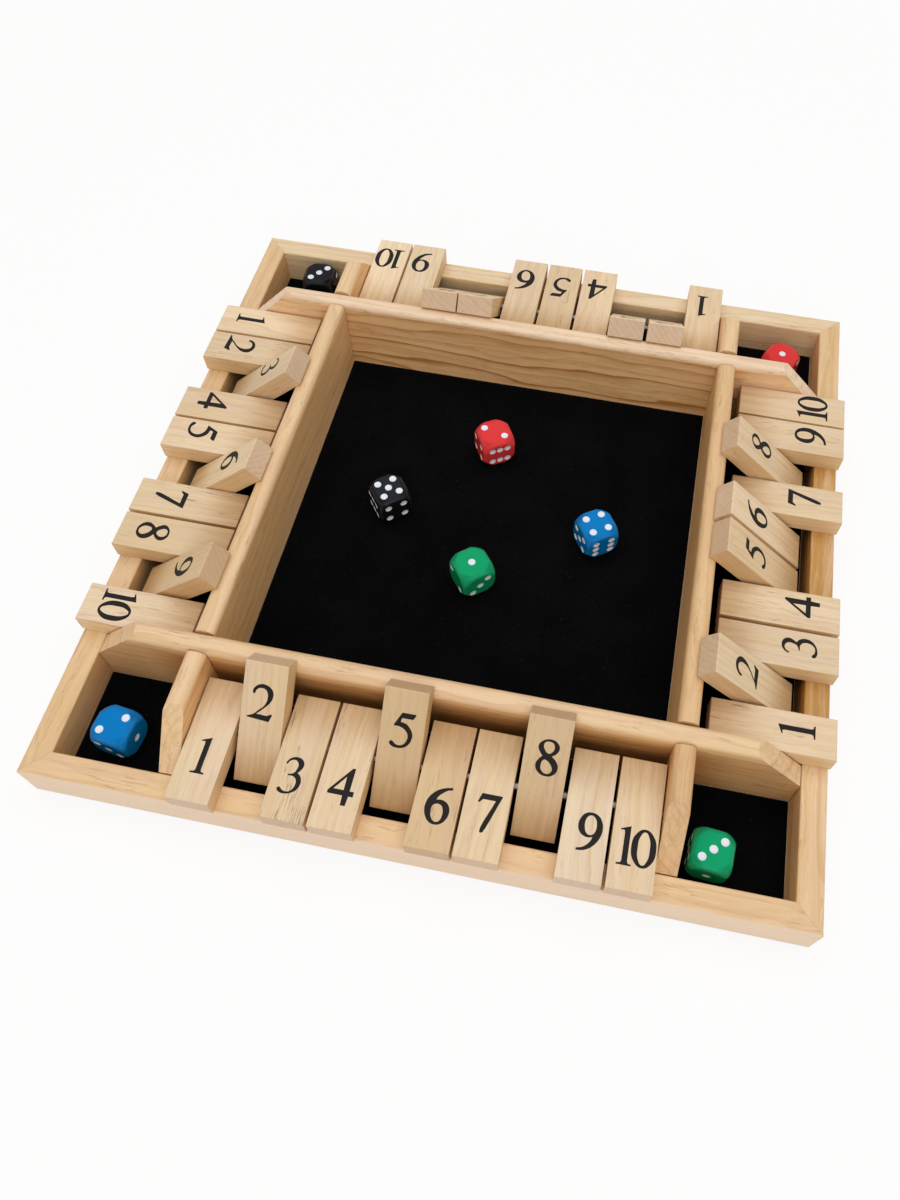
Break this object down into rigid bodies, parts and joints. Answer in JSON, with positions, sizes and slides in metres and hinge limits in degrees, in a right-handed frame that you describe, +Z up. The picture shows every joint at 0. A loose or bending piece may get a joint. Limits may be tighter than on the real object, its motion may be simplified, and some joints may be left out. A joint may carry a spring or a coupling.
{
  "type": "shut the box game",
  "caption": "Square wooden dice tray with a row of hinged number tiles on steel rods along each side, corner boxes and loose dice.",
  "frame": {"origin": "middle of the underside, on the table", "axes": "+X right along the front, +Y to the back, +Z up out of the tray"},
  "size_m": [0.3012, 0.3012, 0.0504],
  "materials": {
    "pine": "sanded pale pine",
    "tile_wood": "sanded pale pine",
    "plywood": "plain plywood",
    "felt": "black felt",
    "steel": "drawn steel rod",
    "red_plastic": "gloss",
    "black_plastic": "gloss",
    "blue_plastic": "gloss",
    "green_plastic": "gloss"
  },
  "bodies": {
    "frame": {"base_panel": "plywood", "felt_lining": "felt", "front_rail": "pine", "right_rail": "pine", "back_rail": "pine", "left_rail": "pine", "front_wall": "pine", "right_wall": "pine", "back_wall": "pine", "left_wall": "pine", "row_dividers": "pine", "pivot_rods": "steel"},
    "front_tile_1_body": {"front_tile_1": "tile_wood"},
    "front_tile_2_body": {"front_tile_2": "tile_wood"},
    "front_tile_3_body": {"front_tile_3": "tile_wood"},
    "front_tile_4_body": {"front_tile_4": "tile_wood"},
    "front_tile_5_body": {"front_tile_5": "tile_wood"},
    "front_tile_6_body": {"front_tile_6": "tile_wood"},
    "front_tile_7_body": {"front_tile_7": "tile_wood"},
    "front_tile_8_body": {"front_tile_8": "tile_wood"},
    "front_tile_9_body": {"front_tile_9": "tile_wood"},
    "front_tile_10_body": {"front_tile_10": "tile_wood"},
    "right_tile_1_body": {"right_tile_1": "tile_wood"},
    "right_tile_2_body": {"right_tile_2": "tile_wood"},
    "right_tile_3_body": {"right_tile_3": "tile_wood"},
    "right_tile_4_body": {"right_tile_4": "tile_wood"},
    "right_tile_5_body": {"right_tile_5": "tile_wood"},
    "right_tile_6_body": {"right_tile_6": "tile_wood"},
    "right_tile_7_body": {"right_tile_7": "tile_wood"},
    "right_tile_8_body": {"right_tile_8": "tile_wood"},
    "right_tile_9_body": {"right_tile_9": "tile_wood"},
    "right_tile_10_body": {"right_tile_10": "tile_wood"},
    "back_tile_1_body": {"back_tile_1": "tile_wood"},
    "back_tile_2_body": {"back_tile_2": "tile_wood"},
    "back_tile_3_body": {"back_tile_3": "tile_wood"},
    "back_tile_4_body": {"back_tile_4": "tile_wood"},
    "back_tile_5_body": {"back_tile_5": "tile_wood"},
    "back_tile_6_body": {"back_tile_6": "tile_wood"},
    "back_tile_7_body": {"back_tile_7": "tile_wood"},
    "back_tile_8_body": {"back_tile_8": "tile_wood"},
    "back_tile_9_body": {"back_tile_9": "tile_wood"},
    "back_tile_10_body": {"back_tile_10": "tile_wood"},
    "left_tile_1_body": {"left_tile_1": "tile_wood"},
    "left_tile_2_body": {"left_tile_2": "tile_wood"},
    "left_tile_3_body": {"left_tile_3": "tile_wood"},
    "left_tile_4_body": {"left_tile_4": "tile_wood"},
    "left_tile_5_body": {"left_tile_5": "tile_wood"},
    "left_tile_6_body": {"left_tile_6": "tile_wood"},
    "left_tile_7_body": {"left_tile_7": "tile_wood"},
    "left_tile_8_body": {"left_tile_8": "tile_wood"},
    "left_tile_9_body": {"left_tile_9": "tile_wood"},
    "left_tile_10_body": {"left_tile_10": "tile_wood"},
    "red_die_in_tray_body": {"red_die_in_tray": "red_plastic"},
    "black_die_in_tray_body": {"black_die_in_tray": "black_plastic"},
    "blue_die_in_tray_body": {"blue_die_in_tray": "blue_plastic"},
    "green_die_in_tray_body": {"green_die_in_tray": "green_plastic"},
    "red_die_in_box_body": {"red_die_in_box": "red_plastic"},
    "black_die_in_box_body": {"black_die_in_box": "black_plastic"},
    "blue_die_in_box_body": {"blue_die_in_box": "blue_plastic"},
    "green_die_in_box_body": {"green_die_in_box": "green_plastic"}
  },
  "joints": [
    {"name": "front_tile_1_turn", "type": "hinge", "parent": "frame", "child": "front_tile_1_body", "pos_m": [0, -0.12, 0.0266], "axis": [-1, 0, 0], "range_deg": [0, 137.5]},
    {"name": "front_tile_2_turn", "type": "hinge", "parent": "frame", "child": "front_tile_2_body", "pos_m": [0, -0.12, 0.0266], "axis": [-1, 0, 0], "range_deg": [-137.5, 0]},
    {"name": "front_tile_3_turn", "type": "hinge", "parent": "frame", "child": "front_tile_3_body", "pos_m": [0, -0.12, 0.0266], "axis": [-1, 0, 0], "range_deg": [0, 137.5]},
    {"name": "front_tile_4_turn", "type": "hinge", "parent": "frame", "child": "front_tile_4_body", "pos_m": [0, -0.12, 0.0266], "axis": [-1, 0, 0], "range_deg": [0, 137.5]},
    {"name": "front_tile_5_turn", "type": "hinge", "parent": "frame", "child": "front_tile_5_body", "pos_m": [0, -0.12, 0.0266], "axis": [-1, 0, 0], "range_deg": [-137.5, 0]},
    {"name": "front_tile_6_turn", "type": "hinge", "parent": "frame", "child": "front_tile_6_body", "pos_m": [0, -0.12, 0.0266], "axis": [-1, 0, 0], "range_deg": [0, 137.5]},
    {"name": "front_tile_7_turn", "type": "hinge", "parent": "frame", "child": "front_tile_7_body", "pos_m": [0, -0.12, 0.0266], "axis": [-1, 0, 0], "range_deg": [0, 137.5]},
    {"name": "front_tile_8_turn", "type": "hinge", "parent": "frame", "child": "front_tile_8_body", "pos_m": [0, -0.12, 0.0266], "axis": [-1, 0, 0], "range_deg": [-137.5, 0]},
    {"name": "front_tile_9_turn", "type": "hinge", "parent": "frame", "child": "front_tile_9_body", "pos_m": [0, -0.12, 0.0266], "axis": [-1, 0, 0], "range_deg": [0, 137.5]},
    {"name": "front_tile_10_turn", "type": "hinge", "parent": "frame", "child": "front_tile_10_body", "pos_m": [0, -0.12, 0.0266], "axis": [-1, 0, 0], "range_deg": [0, 137.5]},
    {"name": "right_tile_1_turn", "type": "hinge", "parent": "frame", "child": "right_tile_1_body", "pos_m": [0.12, 0, 0.0266], "axis": [0, -1, 0], "range_deg": [0, 137.5]},
    {"name": "right_tile_2_turn", "type": "hinge", "parent": "frame", "child": "right_tile_2_body", "pos_m": [0.12, 0, 0.0266], "axis": [0, -1, 0], "range_deg": [-137.5, 0]},
    {"name": "right_tile_3_turn", "type": "hinge", "parent": "frame", "child": "right_tile_3_body", "pos_m": [0.12, 0, 0.0266], "axis": [0, -1, 0], "range_deg": [0, 137.5]},
    {"name": "right_tile_4_turn", "type": "hinge", "parent": "frame", "child": "right_tile_4_body", "pos_m": [0.12, 0, 0.0266], "axis": [0, -1, 0], "range_deg": [0, 137.5]},
    {"name": "right_tile_5_turn", "type": "hinge", "parent": "frame", "child": "right_tile_5_body", "pos_m": [0.12, 0, 0.0266], "axis": [0, -1, 0], "range_deg": [-137.5, 0]},
    {"name": "right_tile_6_turn", "type": "hinge", "parent": "frame", "child": "right_tile_6_body", "pos_m": [0.12, 0, 0.0266], "axis": [0, -1, 0], "range_deg": [-137.5, 0]},
    {"name": "right_tile_7_turn", "type": "hinge", "parent": "frame", "child": "right_tile_7_body", "pos_m": [0.12, 0, 0.0266], "axis": [0, -1, 0], "range_deg": [0, 137.5]},
    {"name": "right_tile_8_turn", "type": "hinge", "parent": "frame", "child": "right_tile_8_body", "pos_m": [0.12, 0, 0.0266], "axis": [0, -1, 0], "range_deg": [-137.5, 0]},
    {"name": "right_tile_9_turn", "type": "hinge", "parent": "frame", "child": "right_tile_9_body", "pos_m": [0.12, 0, 0.0266], "axis": [0, -1, 0], "range_deg": [0, 137.5]},
    {"name": "right_tile_10_turn", "type": "hinge", "parent": "frame", "child": "right_tile_10_body", "pos_m": [0.12, 0, 0.0266], "axis": [0, -1, 0], "range_deg": [0, 137.5]},
    {"name": "back_tile_1_turn", "type": "hinge", "parent": "frame", "child": "back_tile_1_body", "pos_m": [0, 0.12, 0.0266], "axis": [1, 0, 0], "range_deg": [0, 137.5]},
    {"name": "back_tile_2_turn", "type": "hinge", "parent": "frame", "child": "back_tile_2_body", "pos_m": [0, 0.12, 0.0266], "axis": [1, 0, 0], "range_deg": [-137.5, 0]},
    {"name": "back_tile_3_turn", "type": "hinge", "parent": "frame", "child": "back_tile_3_body", "pos_m": [0, 0.12, 0.0266], "axis": [1, 0, 0], "range_deg": [-137.5, 0]},
    {"name": "back_tile_4_turn", "type": "hinge", "parent": "frame", "child": "back_tile_4_body", "pos_m": [0, 0.12, 0.0266], "axis": [1, 0, 0], "range_deg": [0, 137.5]},
    {"name": "back_tile_5_turn", "type": "hinge", "parent": "frame", "child": "back_tile_5_body", "pos_m": [0, 0.12, 0.0266], "axis": [1, 0, 0], "range_deg": [0, 137.5]},
    {"name": "back_tile_6_turn", "type": "hinge", "parent": "frame", "child": "back_tile_6_body", "pos_m": [0, 0.12, 0.0266], "axis": [1, 0, 0], "range_deg": [0, 137.5]},
    {"name": "back_tile_7_turn", "type": "hinge", "parent": "frame", "child": "back_tile_7_body", "pos_m": [0, 0.12, 0.0266], "axis": [1, 0, 0], "range_deg": [-137.5, 0]},
    {"name": "back_tile_8_turn", "type": "hinge", "parent": "frame", "child": "back_tile_8_body", "pos_m": [0, 0.12, 0.0266], "axis": [1, 0, 0], "range_deg": [-137.5, 0]},
    {"name": "back_tile_9_turn", "type": "hinge", "parent": "frame", "child": "back_tile_9_body", "pos_m": [0, 0.12, 0.0266], "axis": [1, 0, 0], "range_deg": [0, 137.5]},
    {"name": "back_tile_10_turn", "type": "hinge", "parent": "frame", "child": "back_tile_10_body", "pos_m": [0, 0.12, 0.0266], "axis": [1, 0, 0], "range_deg": [0, 137.5]},
    {"name": "left_tile_1_turn", "type": "hinge", "parent": "frame", "child": "left_tile_1_body", "pos_m": [-0.12, 0, 0.0266], "axis": [0, 1, 0], "range_deg": [0, 137.5]},
    {"name": "left_tile_2_turn", "type": "hinge", "parent": "frame", "child": "left_tile_2_body", "pos_m": [-0.12, 0, 0.0266], "axis": [0, 1, 0], "range_deg": [0, 137.5]},
    {"name": "left_tile_3_turn", "type": "hinge", "parent": "frame", "child": "left_tile_3_body", "pos_m": [-0.12, 0, 0.0266], "axis": [0, 1, 0], "range_deg": [-137.5, 0]},
    {"name": "left_tile_4_turn", "type": "hinge", "parent": "frame", "child": "left_tile_4_body", "pos_m": [-0.12, 0, 0.0266], "axis": [0, 1, 0], "range_deg": [0, 137.5]},
    {"name": "left_tile_5_turn", "type": "hinge", "parent": "frame", "child": "left_tile_5_body", "pos_m": [-0.12, 0, 0.0266], "axis": [0, 1, 0], "range_deg": [0, 137.5]},
    {"name": "left_tile_6_turn", "type": "hinge", "parent": "frame", "child": "left_tile_6_body", "pos_m": [-0.12, 0, 0.0266], "axis": [0, 1, 0], "range_deg": [-137.5, 0]},
    {"name": "left_tile_7_turn", "type": "hinge", "parent": "frame", "child": "left_tile_7_body", "pos_m": [-0.12, 0, 0.0266], "axis": [0, 1, 0], "range_deg": [0, 137.5]},
    {"name": "left_tile_8_turn", "type": "hinge", "parent": "frame", "child": "left_tile_8_body", "pos_m": [-0.12, 0, 0.0266], "axis": [0, 1, 0], "range_deg": [0, 137.5]},
    {"name": "left_tile_9_turn", "type": "hinge", "parent": "frame", "child": "left_tile_9_body", "pos_m": [-0.12, 0, 0.0266], "axis": [0, 1, 0], "range_deg": [-137.5, 0]},
    {"name": "left_tile_10_turn", "type": "hinge", "parent": "frame", "child": "left_tile_10_body", "pos_m": [-0.12, 0, 0.0266], "axis": [0, 1, 0], "range_deg": [0, 137.5]},
    {"name": "red_die_in_tray_lift", "type": "slide", "parent": "frame", "child": "red_die_in_tray_body", "axis": [0, 0, 1], "range_m": [0, 0.06]},
    {"name": "black_die_in_tray_lift", "type": "slide", "parent": "frame", "child": "black_die_in_tray_body", "axis": [0, 0, 1], "range_m": [0, 0.06]},
    {"name": "blue_die_in_tray_lift", "type": "slide", "parent": "frame", "child": "blue_die_in_tray_body", "axis": [0, 0, 1], "range_m": [0, 0.06]},
    {"name": "green_die_in_tray_lift", "type": "slide", "parent": "frame", "child": "green_die_in_tray_body", "axis": [0, 0, 1], "range_m": [0, 0.06]},
    {"name": "red_die_in_box_lift", "type": "slide", "parent": "frame", "child": "red_die_in_box_body", "axis": [0, 0, 1], "range_m": [0, 0.06]},
    {"name": "black_die_in_box_lift", "type": "slide", "parent": "frame", "child": "black_die_in_box_body", "axis": [0, 0, 1], "range_m": [0, 0.06]},
    {"name": "blue_die_in_box_lift", "type": "slide", "parent": "frame", "child": "blue_die_in_box_body", "axis": [0, 0, 1], "range_m": [0, 0.06]},
    {"name": "green_die_in_box_lift", "type": "slide", "parent": "frame", "child": "green_die_in_box_body", "axis": [0, 0, 1], "range_m": [0, 0.06]}
  ]
}
